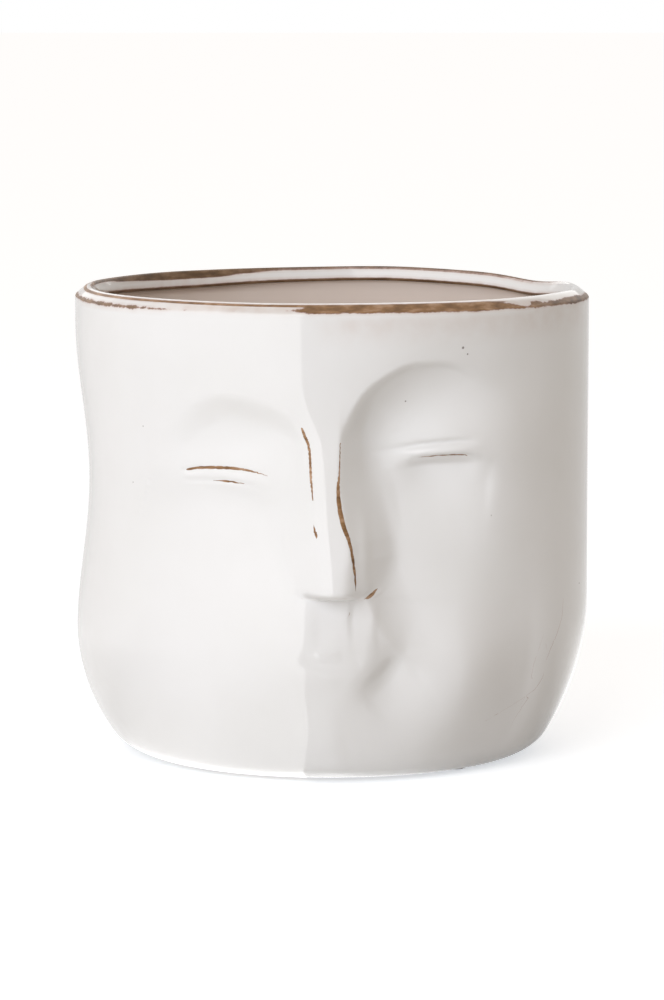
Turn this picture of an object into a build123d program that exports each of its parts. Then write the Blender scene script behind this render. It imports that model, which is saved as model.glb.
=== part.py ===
from build123d import *

import os
from math import acos, cos, degrees, radians, sin, sqrt

os.makedirs("parts", exist_ok=True)

# Head planter: a drain-cast stoneware pot with a calm, closed-eyed face, standing on four felt pads.
# +Z is up, the face looks along -Y, lengths are in millimetres and angles in degrees.
# The origin is the middle of the part's box on the standing plane; the pot's axis stands a little behind it.

# Pot: heights above the standing plane, plan radii of the outside, and how far it draws in below the belly
pot_height = 168.0
rim_radius = 92.5
waist_height = 98.0
waist_pinch_right = 0.3
waist_pinch_front = 2.0
waist_pinch_left = 4.4
waist_pinch_back = 1.2
belly_height = 47.0
belly_radius = 92.5
cheek_height = 20.0
cheek_tuck = 6.7
foot_tuck = 18.5
foot_round = 6.0

# Between belly and waist, and between waist and rim, one more outline holds a part of the pinch
jaw_height_share = 0.5
jaw_pinch_share = 0.5
shoulder_height_share = 0.58
shoulder_pinch_share = 0.25

# Pot: wall, floor, collar inside the rim, foot ring
wall = 5.0
floor_thickness = 8.0
floor_round = 12.0
rim_thickness = 6.5
rim_bevel = 2.4
collar_height = 4.6
collar_bevel = 1.0
foot_ring_width = 24.0
foot_recess = 2.0

# How much of the floor's rounded corner is left at its middle, both along the floor and up the wall
floor_corner_share = 0.3

# Felt pads under the foot ring
pad_count = 4
pad_diameter = 9.0
pad_thickness = 1.0
pad_first_angle = 45.0

# Face: it fills the front between the forehead, measured from the rim, and the chin, measured from the
# ground, and leans over to one side
forehead = 29.0
chin = 36.5
face_roll = 6.5

# Face: how far its features lie above its centre, as shares of its length
brow_share = 0.468
nose_top_share = 0.351
eyelid_share = 0.263
lash_share = 0.195
nose_foot_share = -0.278
philtrum_share = -0.351
muzzle_share = -0.41
upper_lip_share = -0.459
lower_lip_share = brow_share - 1

# Nose: a long wedge with a narrow front facet and a flat underside
nose_rise = 11.0
nose_facet_width = 13.0
nose_root_width = 28.0
nose_edge_round = 1.5

# From the bridge down to the underside: height, facet width, root width and rise
nose_shares = (
    (0.00, 1.05, 0.62, -0.08),
    (0.33, 0.74, 0.80, 0.50),
    (0.68, 0.80, 0.96, 0.84),
    (1.00, 1.00, 1.00, 1.00),
)

# Eye sockets: arched hollows, deep under the brow and running out on the cheek
eye_spacing = 66.0
socket_width = 57.0
socket_depth = 5.0
brow_slope = 40.0

# The arch of the brow, and the sides below it, as shares of the face's length
brow_arch_share = 0.195
socket_drop_share = 0.351

# How much of the depth the hollow's floor holds at the cheek, belly, jaw, waist, shoulder and rim
socket_floor_shares = (-0.4, -0.4, -0.3, -0.02, 1.0, 1.2)

# Closed eyes: a soft lid, and below it the narrow roll where the lids meet
eyelid_curve = 45.0
eyelid_rise = 1.6
lash_width = 32.0
lash_height = 4.6
lash_rise = 1.4

# Mouth: a muzzle with a philtrum, an upper lip in two halves that turn up at the corners, a fuller lower lip
muzzle_curve = 50.0
muzzle_rise = 2.6
philtrum_width = 6.0
philtrum_height = 15.0
philtrum_depth = 1.0
upper_lip_offset = 9.0
upper_lip_width = 25.0
upper_lip_height = 7.0
upper_lip_rise = 1.2
upper_lip_turn = 9.0
lower_lip_width = 29.0
lower_lip_height = 9.0
lower_lip_rise = 1.8

# How far a cut runs past the face that it opens
overrun = 1.0

cheek_radius = belly_radius - cheek_tuck
foot_radius = belly_radius - foot_tuck

# Where the pot's axis stands, so that the nose in front and the rim behind reach equally far
nose_tip_radius = belly_radius - jaw_pinch_share * waist_pinch_front + nose_rise
axis_setback = (nose_tip_radius - rim_radius) / 2
ground = Plane(origin=(0, axis_setback, 0))

face_length = pot_height - forehead - chin
face = Plane(
    origin=(0, axis_setback, chin - lower_lip_share * face_length),
    x_dir=(cos(radians(face_roll)), 0, sin(radians(face_roll))),
    z_dir=(0, -1, 0),
)


def outline(height, right, front, left, back):
    """A level outline of the pot: four quarter ellipses that run into each other."""
    with BuildSketch(ground.offset(height)) as level:
        with BuildLine():
            EllipticalCenterArc((0, 0), right, back, start_angle=0, arc_size=90)
            EllipticalCenterArc((0, 0), left, back, start_angle=90, arc_size=90)
            EllipticalCenterArc((0, 0), left, front, start_angle=180, arc_size=90)
            EllipticalCenterArc((0, 0), right, front, start_angle=270, arc_size=90)
        make_face()
    return level.sketch


def round_outline(height, radius):
    """A level outline with the same radius all round."""
    return outline(height, radius, radius, radius, radius)


def pinched_outline(height, pinch_share, inset):
    """A level outline that holds a share of the waist's pinch, drawn in by inset."""
    climb = (height - belly_height) / (pot_height - belly_height)
    radius = belly_radius + climb * (rim_radius - belly_radius)
    pinches = (waist_pinch_right, waist_pinch_front, waist_pinch_left, waist_pinch_back)
    return outline(height, *[radius - inset - pinch_share * pinch for pinch in pinches])


def sides(insets):
    """The outlines from the cheek up to the shoulder, each drawn in by its inset."""
    jaw_height = belly_height + jaw_height_share * (waist_height - belly_height)
    shoulder_height = waist_height + shoulder_height_share * (pot_height - waist_height)
    cheek_inset, belly_inset, jaw_inset, waist_inset, shoulder_inset = insets
    return [
        round_outline(cheek_height, cheek_radius - cheek_inset),
        round_outline(belly_height, belly_radius - belly_inset),
        pinched_outline(jaw_height, jaw_pinch_share, jaw_inset),
        pinched_outline(waist_height, 1, waist_inset),
        pinched_outline(shoulder_height, shoulder_pinch_share, shoulder_inset),
    ]


def seat(body, across, above_share, turn=0):
    """A plane that lies on the body's front, across and above the face's centre, turned about its normal."""
    sight = Axis(face.from_local_coords((across, above_share * face_length, 0)), face.z_dir)
    hits = body.find_intersection_points(sight)
    point, normal = max(hits, key=lambda hit: face.to_local_coords(hit[0]).Z)
    outward = normal if normal.dot(face.z_dir) > 0 else -normal
    along = face.x_dir * cos(radians(turn)) + face.y_dir * sin(radians(turn))
    return Plane(point, along, outward)


def socket(place, margin):
    """The solid that hollows out an eye socket, grown by margin.

    It is an arched window with sloping sides, driven into the pot, with a floor that follows the pot's shape.
    The place lies on the pot, where the brow's arch springs.
    """
    half_width = socket_width / 2
    arch = brow_arch_share * face_length
    drop = socket_drop_share * face_length
    *side_insets, rim_inset = [share * socket_depth + margin for share in socket_floor_shares]
    with BuildPart() as form:
        with BuildSketch(place.offset(overrun)):
            with BuildLine():
                EllipticalCenterArc((0, 0), half_width, arch, start_angle=0, arc_size=180)
                Polyline((-half_width, 0), (-half_width, -drop), (half_width, -drop), (half_width, 0))
            make_face()
            if margin:
                offset(amount=margin)
        extrude(amount=-2 * (socket_depth + wall), taper=brow_slope)
        loft(
            [
                round_outline(pad_thickness, foot_radius - side_insets[0]),
                *sides(side_insets),
                round_outline(pot_height, rim_radius - rim_inset),
            ],
            mode=Mode.SUBTRACT,
        )
    return form.part


def dome(curve, rise):
    """A soft round mound of the given radius that stands rise above the surface it sits on."""
    spread = degrees(acos((curve - rise - wall) / curve))
    with BuildPart() as form:
        with BuildSketch(Plane.XZ):
            with BuildLine():
                crown = CenterArc((0, rise - curve), curve, start_angle=90, arc_size=-spread)
                Polyline(crown @ 1, (0, -wall), crown @ 0)
            make_face()
        revolve(axis=Axis.Z)
    return form.part


def arc_radius(chord, rise):
    """The radius of an arc that stands rise above its chord."""
    return (chord**2 / 4 + rise**2) / (2 * rise)


def spindle(width, height, rise, bend=0):
    """A long egg that shows width by height and stands rise above the surface it sits on.

    Its length runs along X, and bend is the curvature of that surface along it.
    """
    long_radius = 1 / (1 / arc_radius(width, rise) + bend)
    round_radius = arc_radius(height, rise)
    half_length = sqrt(long_radius * round_radius)
    with BuildPart() as form:
        with BuildSketch(Plane.XZ):
            with BuildLine():
                EllipticalCenterArc((0, 0), half_length, round_radius, start_angle=180, arc_size=180)
                Line((half_length, 0), (-half_length, 0))
            make_face()
        revolve(axis=Axis.X)
    return form.part.moved(Location((0, 0, rise - round_radius)))


def nose_section(body, height_share, facet_share, root_share, rise_share):
    """A level cut through the nose: a trapezium from inside the wall out to the front facet."""
    above_share = nose_top_share + height_share * (nose_foot_share - nose_top_share)
    skin = face.to_local_coords(seat(body, 0, above_share).origin).Z
    root = skin - wall / 2
    reach = skin + rise_share * nose_rise
    half_root = root_share * nose_root_width / 2
    half_facet = facet_share * nose_facet_width / 2
    level = face.from_local_coords((0, above_share * face_length, 0))
    with BuildSketch(Plane(level, face.x_dir, -face.y_dir)) as section:
        with BuildLine():
            Polyline(
                (-half_root, root),
                (half_root, root),
                (half_facet, reach),
                (-half_facet, reach),
                close=True,
            )
        make_face()
    return section.sketch


# Outside: the pot without its face
with BuildPart() as outside:
    loft(
        [
            round_outline(pad_thickness, foot_radius),
            *sides([0] * 5),
            round_outline(pot_height, rim_radius),
        ]
    )
    fillet(outside.edges().group_by(Axis.Z)[0], foot_round)
    chamfer(outside.edges().group_by(Axis.Z)[-1], rim_bevel)

eyes = (-eye_spacing / 2, eye_spacing / 2)
sockets = [seat(outside.part, across, brow_share - brow_arch_share) for across in eyes]

# Cavity: the room inside the wall up to the collar, drawn in behind the eye sockets
floor_height = pad_thickness + floor_thickness
floor_radius = (
    foot_radius
    + (cheek_radius - foot_radius) * floor_thickness / (cheek_height - pad_thickness)
    - wall
)
floor_corner = floor_corner_share * floor_round
collar_underside = pot_height - collar_height

with BuildPart() as cavity:
    loft(
        [
            round_outline(floor_height, floor_radius - floor_round),
            round_outline(floor_height + floor_corner, floor_radius - floor_corner),
            *sides([wall] * 5),
            round_outline(collar_underside, rim_radius - wall),
        ],
        ruled=True,
    )
    add([socket(place, wall) for place in sockets], mode=Mode.SUBTRACT)

# Nose
with BuildPart() as nose:
    loft([nose_section(outside.part, *shares) for shares in nose_shares])
    facet = nose.faces().sort_by(Axis.Y)[0]
    fillet(facet.edges().sort_by(SortBy.LENGTH)[-2:], nose_edge_round)

# Pot body: the face is laid on the outside, then the cavity, the pot's mouth and the foot's recess are cut
with BuildPart() as pot_body:
    add(outside.part)
    add([socket(place, 0) for place in sockets], mode=Mode.SUBTRACT)
    with Locations(*[seat(pot_body.part, across, eyelid_share) for across in eyes]):
        add(dome(eyelid_curve, eyelid_rise))
    with Locations(*[seat(pot_body.part, across, lash_share) for across in eyes]):
        add(spindle(lash_width, lash_height, lash_rise, 1 / belly_radius))
    with Locations(seat(pot_body.part, 0, muzzle_share)):
        add(dome(muzzle_curve, muzzle_rise))
    with Locations(-seat(pot_body.part, 0, philtrum_share, 90)):
        add(spindle(philtrum_height, philtrum_width, philtrum_depth), mode=Mode.SUBTRACT)
    mouth = pot_body.part
    with Locations(
        seat(mouth, -upper_lip_offset, upper_lip_share, -upper_lip_turn),
        seat(mouth, upper_lip_offset, upper_lip_share, upper_lip_turn),
    ):
        add(spindle(upper_lip_width, upper_lip_height, upper_lip_rise, 1 / muzzle_curve))
    with Locations(seat(mouth, 0, lower_lip_share)):
        add(spindle(lower_lip_width, lower_lip_height, lower_lip_rise, 1 / muzzle_curve))
    add(nose.part)
    add(cavity.part, mode=Mode.SUBTRACT)
    with BuildSketch(ground.offset(collar_underside)):
        Circle(rim_radius - rim_thickness)
    extrude(amount=collar_height + overrun, mode=Mode.SUBTRACT)
    rim_face = pot_body.faces().sort_by(Axis.Z)[-1]
    chamfer(rim_face.inner_wires()[0].edges(), collar_bevel)
    with BuildSketch(ground):
        Circle(foot_radius - foot_ring_width)
    extrude(amount=pad_thickness + foot_recess, mode=Mode.SUBTRACT)

pot_body.part.label = "pot_body"
export_step(pot_body.part, "parts/pot_body.step")

# Felt pads, stuck to the middle of the foot ring's flat, which ends where the rounded edge begins
pad_circle_radius = foot_radius - (foot_ring_width + foot_round / 2) / 2

for number in range(1, pad_count + 1):
    angle = pad_first_angle + (number - 1) * 360 / pad_count
    with BuildPart() as felt_pad:
        with BuildSketch(ground):
            with PolarLocations(pad_circle_radius, 1, start_angle=angle):
                Circle(pad_diameter / 2)
        extrude(amount=pad_thickness)
    felt_pad.part.label = f"felt_pad_{number}"
    export_step(felt_pad.part, f"parts/felt_pad_{number}.step")
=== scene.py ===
# %% [markdown]
# A head planter: a stoneware pot cast in one piece, with a calm, closed-eyed face raised on its front wall,
# under a white glaze that breaks brown wherever it runs thin over an edge.
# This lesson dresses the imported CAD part. Its frame gives the size and the place of every node, so we load
# it first and note its box: the box of what we model keeps to it within 2 mm.

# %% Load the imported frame
import math

import bpy
import numpy as np
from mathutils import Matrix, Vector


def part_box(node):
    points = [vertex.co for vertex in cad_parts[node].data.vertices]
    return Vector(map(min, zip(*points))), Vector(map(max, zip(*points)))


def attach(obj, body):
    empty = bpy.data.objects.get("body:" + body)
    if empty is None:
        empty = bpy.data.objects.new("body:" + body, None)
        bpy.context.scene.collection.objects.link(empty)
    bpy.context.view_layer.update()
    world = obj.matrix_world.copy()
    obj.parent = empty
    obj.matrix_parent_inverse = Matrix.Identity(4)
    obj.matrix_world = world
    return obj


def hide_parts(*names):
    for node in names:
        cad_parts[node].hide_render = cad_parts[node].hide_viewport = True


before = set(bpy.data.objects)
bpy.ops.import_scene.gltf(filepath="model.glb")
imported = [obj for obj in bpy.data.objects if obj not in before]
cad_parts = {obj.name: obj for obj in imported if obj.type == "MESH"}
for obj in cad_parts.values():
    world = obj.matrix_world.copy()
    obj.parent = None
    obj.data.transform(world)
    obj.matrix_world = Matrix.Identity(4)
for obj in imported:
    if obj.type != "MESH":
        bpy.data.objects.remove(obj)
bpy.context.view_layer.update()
print("nodes:", sorted(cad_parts))

# %% [markdown]
# A pot is a round form, so the clay is described as a radius: for every angle round the axis and every
# height, how far out the wall stands. Angle 0 looks at the viewer, and positive angles go to the viewer's
# right. The real wall isn't a true cylinder: the cast sagged inwards at the waist, mostly on the left, and
# the belly is rounder on the left than on the right. Three smooth terms are enough for that: the tuck below
# the belly, the sag of the waist and the round at the foot.

# %% The plain wall as a radius
MM = 0.001  # the frame is in metres
AXIS_Y = 5.0  # the axis stands this far behind the frame's origin
RIM_TOP = 168.2
WALL_RADIUS = 92.2
BELLY_HEIGHT = (52.5, 5.5)  # in front, and how much more on the right and less on the left
BELLY_ARC = (80.5, 14.0)  # radius of the curve below the belly, in the same way
WAIST_SAG = (2.4, -2.3)
WAIST_HEIGHT, WAIST_REACH = 100.0, 57.0
FOOT_PLANE = 1.0  # the felt pads lift the clay this much
FOOT_CORNER = (7.0, 7.0)  # inset and height of the round under the belly


def smooth(t):
    """0 to 1 with soft ends."""
    t = np.clip(t, 0.0, 1.0)
    return t * t * (3.0 - 2.0 * t)


def wall_radius(angle, z):
    side = np.sin(angle)
    belly_height = BELLY_HEIGHT[0] + BELLY_HEIGHT[1] * side
    belly_arc = BELLY_ARC[0] + BELLY_ARC[1] * side
    below = np.clip(belly_height - z, 0.0, None)
    tuck = belly_arc - np.sqrt(belly_arc**2 - below**2)
    waist = np.cos(np.clip((z - WAIST_HEIGHT) / WAIST_REACH, -1.0, 1.0) * math.pi / 2) ** 2
    sag = waist * (WAIST_SAG[0] + WAIST_SAG[1] * side)
    inset, tall = FOOT_CORNER
    corner = np.clip((FOOT_PLANE + tall - z) / tall, 0.0, 1.0)
    tuck_under = inset * (1.0 - np.sqrt(1.0 - corner**2))
    return WALL_RADIUS - tuck - sag - tuck_under


for name, z in (("rim", 160.0), ("waist", WAIST_HEIGHT), ("belly", 50.0)):
    print(name, "left and right, mm:", np.round(wall_radius(np.radians([-90.0, 90.0]), z), 1))

# %% [markdown]
# The face is modelled as a sculptor would press it into the mould: a few drawn lines, each with its own
# depth. A line is a handful of points, x across and z up in millimetres as seen from the front, with more
# values, such as depth and width, at each point. A spline runs smoothly through them, and every place on the
# wall asks for its distance from the line and which side of it it lies on.

# %% Drawn lines
def spline(points, step=0.7):
    """A smooth line through points, in even steps; every column, place or value, is carried along."""
    p = np.array(points, float)
    p = np.vstack([2 * p[0] - p[1], p, 2 * p[-1] - p[-2]])
    t = np.linspace(0, 1, 40, endpoint=False)[:, None]
    spans = [
        0.5 * (2 * b + (c - a) * t + (2 * a - 5 * b + 4 * c - d) * t**2 + (3 * b - a - 3 * c + d) * t**3)
        for a, b, c, d in zip(p, p[1:], p[2:], p[3:])
    ]
    fine = np.vstack(spans + [p[-2:-1]])
    length = np.append(0, np.cumsum(np.hypot(*np.diff(fine[:, :2], axis=0).T)))
    even = np.linspace(0, length[-1], max(3, int(length[-1] / step)))
    return np.stack([np.interp(even, length, column) for column in fine.T], -1)


def follow(x, z, line):
    """Distance from a line, positive on its left, the line's values there, and the run past its ends.

    Away from the line every bit of it counts by the sixth power of its nearness, so that no crease
    appears inside a curve, where the nearest point jumps. Summed along a straight line that is
    3 pi / 8 over the fifth power of the distance, which gives the distance back.
    """
    run = np.gradient(line[:, :2], axis=0)
    step = np.linalg.norm(run, axis=1).mean()
    run /= np.linalg.norm(run, axis=1)[:, None]
    best = np.full(x.shape, np.inf)
    index = np.zeros(x.shape, int)
    pull = np.zeros(x.shape)
    carried = np.zeros(x.shape + (line.shape[1] - 2,))
    for i, q in enumerate(line):
        squared = (x - q[0]) ** 2 + (z - q[1]) ** 2
        index = np.where(squared < best, i, index)
        best = np.minimum(squared, best)
        weight = (squared + 0.1) ** -3
        pull += weight
        carried += weight[..., None] * q[2:]
    near = np.sqrt(best)
    even = (pull * step * 8 / (3 * math.pi)) ** -0.2
    d = near + (even - near) * smooth((near - 1.0) / 3.0)
    off_x, off_z = x - line[index, 0], z - line[index, 1]
    left = np.sign(run[index, 0] * off_z - run[index, 1] * off_x)
    ahead = off_x * run[index, 0] + off_z * run[index, 1]
    past = np.where(index == 0, -ahead, 0) + np.where(index == len(line) - 1, ahead, 0)
    return left * d, carried / pull[..., None], np.clip(past, 0, None)


print("a bow through 3 points is drawn in", len(spline([(-10, 0), (0, 4), (10, 0)])), "steps")

# %% [markdown]
# Three strokes of the modelling tool are enough. A ledge drops the clay on one side of a line and lets it
# come back slowly, a roll raises or presses it along a line, and a mound swells it in an oval. Soft versions
# of the greater and the lesser of two heights blend forms without a seam.

# %% Strokes of the tool
def ledge(x, z, points, inner=1.0, fade=6.0):
    """Columns of points: x, z, depth, width of the drop, reach of the way back."""
    d, value, past = follow(x, z, spline(points))
    d = d * inner
    depth, rise, reach = value[..., 0], value[..., 1], value[..., 2]
    back = np.exp(-((np.clip(d - rise, 0, None) / reach) ** 2))
    return -depth * smooth(d / rise) * back * np.exp(-((past / fade) ** 2))


def roll(x, z, points, fade=2.0):
    """Columns of points: x, z, height, half width."""
    d, value, past = follow(x, z, spline(points))
    return value[..., 0] * np.exp(-((d / value[..., 1]) ** 2)) * np.exp(-((past / fade) ** 2))


def mound(x, z, centre, half, height, turn=0.0):
    c, s = math.cos(math.radians(turn)), math.sin(math.radians(turn))
    dx, dz = x - centre[0], z - centre[1]
    u, v = (c * dx + s * dz) / half[0], (c * dz - s * dx) / half[1]
    return height * np.exp(-(u**2 + v**2))


def soft_max(a, b, k):
    return k * np.logaddexp(a / k, b / k)


def soft_min(a, b, k):
    return -soft_max(-a, -b, k)


# Places on the face, 2 mm apart, where forms are measured.
LOOK = np.meshgrid(np.arange(-70.0, 71.0, 2.0), np.arange(10.0, 161.0, 2.0))


def measure(name, form):
    field = form(*LOOK)
    print(name, "from", round(float(field.min()), 1), "to", round(float(field.max()), 1), "mm")


print("forms are measured at", LOOK[0].size, "places on the face")

# %% [markdown]
# The brows are the strongest forms of the face. Each is a crisp arch where the forehead ends and the eye
# socket drops away. The sockets are wide bowls, deepest beside the nose, that only come back to the round
# wall at the temples, so that the cheeks are flatter than the wall. The right brow is sharper than the left.

# %% Brows and eye sockets
RIGHT_BROW = [  # x, z, depth of the crisp step, its width
    (31, 34, 0, 6), (24, 47, 0, 6), (17, 56, 0.2, 6), (13, 65, 0.5, 6), (9, 76, 0.8, 6),
    (5.5, 87.5, 1, 5.5), (3, 97, 1.2, 5), (2.4, 108, 3, 7), (2.6, 120, 4.8, 7.5), (6.5, 131, 4.4, 6.5),
    (13, 139.8, 2.2, 4), (24, 146.4, 1.5, 2.6), (33, 147.8, 1.2, 2.4), (41.5, 147.2, 0.8, 2.4),
    (50, 143.8, 0.3, 4), (58, 137, 0.1, 6), (65, 125.5, 0, 6), (68.5, 113, 0, 6),
]
LEFT_BROW = [
    (-19, 52, 0, 6), (-13, 66, 0.3, 6), (-10.5, 85, 0.4, 6), (-9.6, 100, 0.6, 6), (-9.4, 113, 1.2, 5),
    (-10.2, 123, 1.6, 5), (-13.5, 129, 2, 7.5), (-21.5, 133.6, 2.6, 9), (-35, 136.6, 3.6, 9.5),
    (-45, 134.6, 3, 10), (-53, 128.6, 3, 10), (-59, 120.5, 2.6, 9), (-62, 110, 0, 8),
]
BOWL_DEPTH, BOWL_REACH = 7.9, 18.0  # the bowl keeps falling this far below the brow
NARROWER, NARROWER_BELOW, NARROWER_OVER = 4.0, 110.0, 25.0  # beside the nose it falls over a shorter way
BROW_ROUND, BROW_GAP = 0.5, 0.05  # softness of the brow's edge, and what is too little to count as inside
BOWL_FADE = 56.0  # from the eye out to the temple
BOWLS = (  # side, brow, where the fade starts, height where the bowl runs out, over how much, share of depth
    (1.0, RIGHT_BROW, 16.0, 28.0, 50.0, 1.0),
    (-1.0, LEFT_BROW, 18.0, 55.0, 45.0, 0.72),
)
RIGHT_HOLLOWS = (  # centre, half size, height
    ((21.0, 119.0), (17.0, 16.0), -1.3),
    ((48.0, 138.0), (26.0, 14.0), -2.4),
)


def socket(x, z, line, inner, bowl):
    d, value, _ = follow(x, z, spline(line))
    inside = np.clip(soft_max(0.0, np.clip(d * inner, -30, 30), BROW_ROUND) - BROW_GAP, 0.0, None)
    reach = BOWL_REACH - NARROWER * smooth((NARROWER_BELOW - z) / NARROWER_OVER)
    falling = 1.0 - (1.0 - np.clip(inside / reach, 0.0, 1.0)) ** 2
    step = value[..., 0] * smooth(inside / value[..., 1]) * smooth(2.0 * bowl)
    return -step - BOWL_DEPTH * bowl * falling


def sockets(x, z):
    field = sum(mound(x, z, *hollow) for hollow in RIGHT_HOLLOWS)
    for side, brow, eye_end, cheek, cheek_rise, share in BOWLS:
        bowl = (1.0 - smooth((side * x - eye_end) / BOWL_FADE)) * smooth((z - cheek) / cheek_rise) * share
        field = field + socket(x, z, brow, -side, bowl)
    return field


measure("sockets", sockets)

# %% [markdown]
# The nose is a long wedge that leans with the head: a flat ridge with a narrow bevel on its left, a straight
# flank on each side, and a rounded tip. It grows out of the forehead between the brows. Each surface is a
# plane or a curve, and soft minima round the edges between them.

# %% Nose
NOSE_Z = (60, 70, 75, 81, 87.5, 93, 105.5, 111.5, 121.5, 130, 142)
NOSE_LEFT = (-3.8, -3.8, -4, -4.6, -5.1, -5.7, -6.8, -7.3, -8.4, -11, -13)
NOSE_BEVEL = (0.2, 0.2, -0.2, -0.9, -1.6, -2.2, -3, -3.3, -4.4, -7.6, -11)
NOSE_RIGHT = (5.4, 5.4, 5.8, 6.2, 5.8, 4.3, 2.3, 2.4, 2.8, 3.2, 4)
NOSE_RISE = (10.8, 10.8, 10.5, 9.8, 8.8, 7.8, 5, 3.5, 1.2, -0.8, -3)
NOSE_FALL = (1.5, 1.5, 1.4, 1.25, 1.2, 1.15, 1.2, 1.3, 1.45, 1.4, 1)
BEVEL_SLOPE, LEFT_SLOPE = 0.4, 1.0
BEVEL_ROUND, LEFT_ROUND = 0.15, 0.4
RIGHT_ROUND = (0.4, 1.6)  # on the bridge, and how much more at the tip
TIP_BELOW, TIP_OVER = 86.0, 14.0
NOSE_UNDERSIDE, TIP_ROUND, TIP_BASE = 66.5, 4.2, -4.0
UNDERSIDE_BOW, UNDERSIDE_MIDDLE = 0.004, 3.0
WING_START, WING_WIDTH, WING_CLIMB = 11.0, 8.0, 0.05  # here the underside climbs
UNDERSIDE_SLOPE = 6.0
WING = [  # x, z, height, half width
    (9.9, 100, 0, 1.9), (10.9, 91, 0.6, 1.9), (11.3, 84, 1, 1.9), (11.6, 77, 1.2, 2),
    (12.2, 70.5, 1.2, 2.2),
]
NOSTRIL = [(10.5, 67.2, -0.6, 1.4), (13, 68.2, -1.8, 1.5), (15.6, 70.6, -0.8, 1.5)]


def nose(x, z):
    left, bevel, right, rise, fall = (
        np.interp(z, NOSE_Z, row) for row in (NOSE_LEFT, NOSE_BEVEL, NOSE_RIGHT, NOSE_RISE, NOSE_FALL)
    )
    bevel_side = rise + (x - bevel) * BEVEL_SLOPE
    left_side = rise + (left - bevel) * BEVEL_SLOPE + (x - left) * LEFT_SLOPE
    right_side = rise - fall * (x - right)
    wing = np.clip(x - WING_START, 0.0, WING_WIDTH)
    under = NOSE_UNDERSIDE + UNDERSIDE_BOW * (x - UNDERSIDE_MIDDLE) ** 2 + WING_CLIMB * wing**2
    tip = np.clip((z - under) / (TIP_ROUND + wing), 0.0, 1.0)
    right_round = RIGHT_ROUND[0] + RIGHT_ROUND[1] * smooth((TIP_BELOW - z) / TIP_OVER)
    top = soft_min(soft_min(rise, bevel_side, BEVEL_ROUND), left_side, LEFT_ROUND)
    top = soft_min(top, right_side, right_round) + roll(x, z, WING) + roll(x, z, NOSTRIL, fade=1.0)
    above = top - TIP_BASE
    rounded = np.where(above > 0.0, above * np.sqrt(1.0 - (1.0 - tip) ** 2), above)
    return TIP_BASE + rounded - UNDERSIDE_SLOPE * np.clip(under - z, 0.0, None)


print("the nose stands out, mm:", round(float(nose(*LOOK).max()), 1))

# %% [markdown]
# Closed eyes: in each socket a soft swelling is the eyeball under its lid. A fine pressed line runs above
# the lid's edge and a slit below it, so that the edge itself stands as a bright strip.

# %% Eyelids
EYEBALLS = (((36.0, 116.5), (21.0, 9.5), 2.2, 4.0), ((-37.0, 109.0), (20.0, 10.0), 2.2))
SLITS = (  # x, z, depth, width of the drop, reach
    [
        (20, 113.8, 0, 4.8, 14), (25.5, 115, 1.8, 4.8, 15), (31, 115.8, 4, 4.8, 16),
        (39, 116.4, 4.6, 4.8, 16), (46, 116.5, 3.6, 4.8, 16), (54, 115.6, 0, 4.8, 14),
    ],
    [
        (-50, 106.3, 0, 4, 8), (-42, 106.4, 0.7, 4, 8), (-33, 105.8, 1.2, 4.5, 8), (-26, 104.6, 1, 5, 8),
        (-20, 102.6, 0, 5, 8),
    ],
)
RIGHT_LID = (  # x, z, height, half width: the line above, the slit's own line, the edge between them
    [
        (11, 116.4, -0.2, 1.3), (20, 117.4, -0.5, 1.2), (30, 118.8, -1.6, 1.2), (41, 119.8, -1.6, 1.2),
        (50, 120, -0.1, 1.2),
    ],
    [(28, 114.3, -0.3, 0.8), (36, 115, -0.8, 0.8), (45, 115.1, -0.7, 0.8), (48.5, 114.9, -0.1, 0.9)],
    [(24, 115.4, 0.1, 1.4), (36, 116.8, 0.5, 1.4), (50, 117.2, 0.2, 1.5)],
)
LEFT_LID = (
    [(-50.6, 109.3, -0.7, 0.8), (-45.5, 110.3, -0.8, 0.8), (-35, 110.6, -0.7, 0.8), (-24, 109.2, -0.3, 1)],
    [(-50, 106, -0.3, 0.9), (-42, 106.3, -0.5, 0.8), (-34, 106.1, -0.6, 0.8), (-25, 104.4, -0.2, 1)],
    [(-49.5, 107.7, 0.3, 1.3), (-40, 108.4, 0.4, 1.3), (-31, 107.6, 0.4, 1.3), (-22, 105.2, 0.2, 1.5)],
)


def eyelids(x, z):
    field = sum(mound(x, z, *eyeball) for eyeball in EYEBALLS)
    for line in SLITS:
        field += ledge(x, z, line, inner=-1.0, fade=3.0)
    for line in RIGHT_LID + LEFT_LID:
        field += roll(x, z, line)
    return field


measure("eyelids", eyelids)

# %% [markdown]
# The mouth sits on a soft muzzle. Three short furrows run down from the nose, the lips are hardly raised, and
# on the right a deep smile line parts the muzzle from a full cheek.

# %% Mouth
MUZZLE = ((-9.0, 48.0), (22.0, 16.0), 3.4)
SMILE = [  # x, z, depth, width of the drop, reach
    (36, 90, 0, 16, 26), (26, 79, 0.4, 16, 26), (17.5, 69, 1.2, 16, 26), (12.6, 60.5, 2.4, 16.5, 26),
    (11, 53, 4.6, 17, 28), (10.8, 47, 6, 15, 32), (8.6, 42.4, 4.2, 13, 32), (4.2, 38.2, 0.4, 10, 24),
    (0, 36.8, 0, 10, 16),
]
SMILE_CREASE = [
    (22, 49.5, 0, 4, 20), (18.2, 46.8, 0.9, 4, 20), (15.6, 44, 1.7, 4, 20), (12.4, 41.5, 1.3, 4, 20),
    (9, 39, 0, 4, 20),
]
LEFT_FURROW = [
    (-11.5, 49, 0, 6, 9), (-9.6, 53, 0.6, 6, 9), (-9, 59, 0.7, 6, 9), (-10, 64, 0, 6, 9),
]
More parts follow.
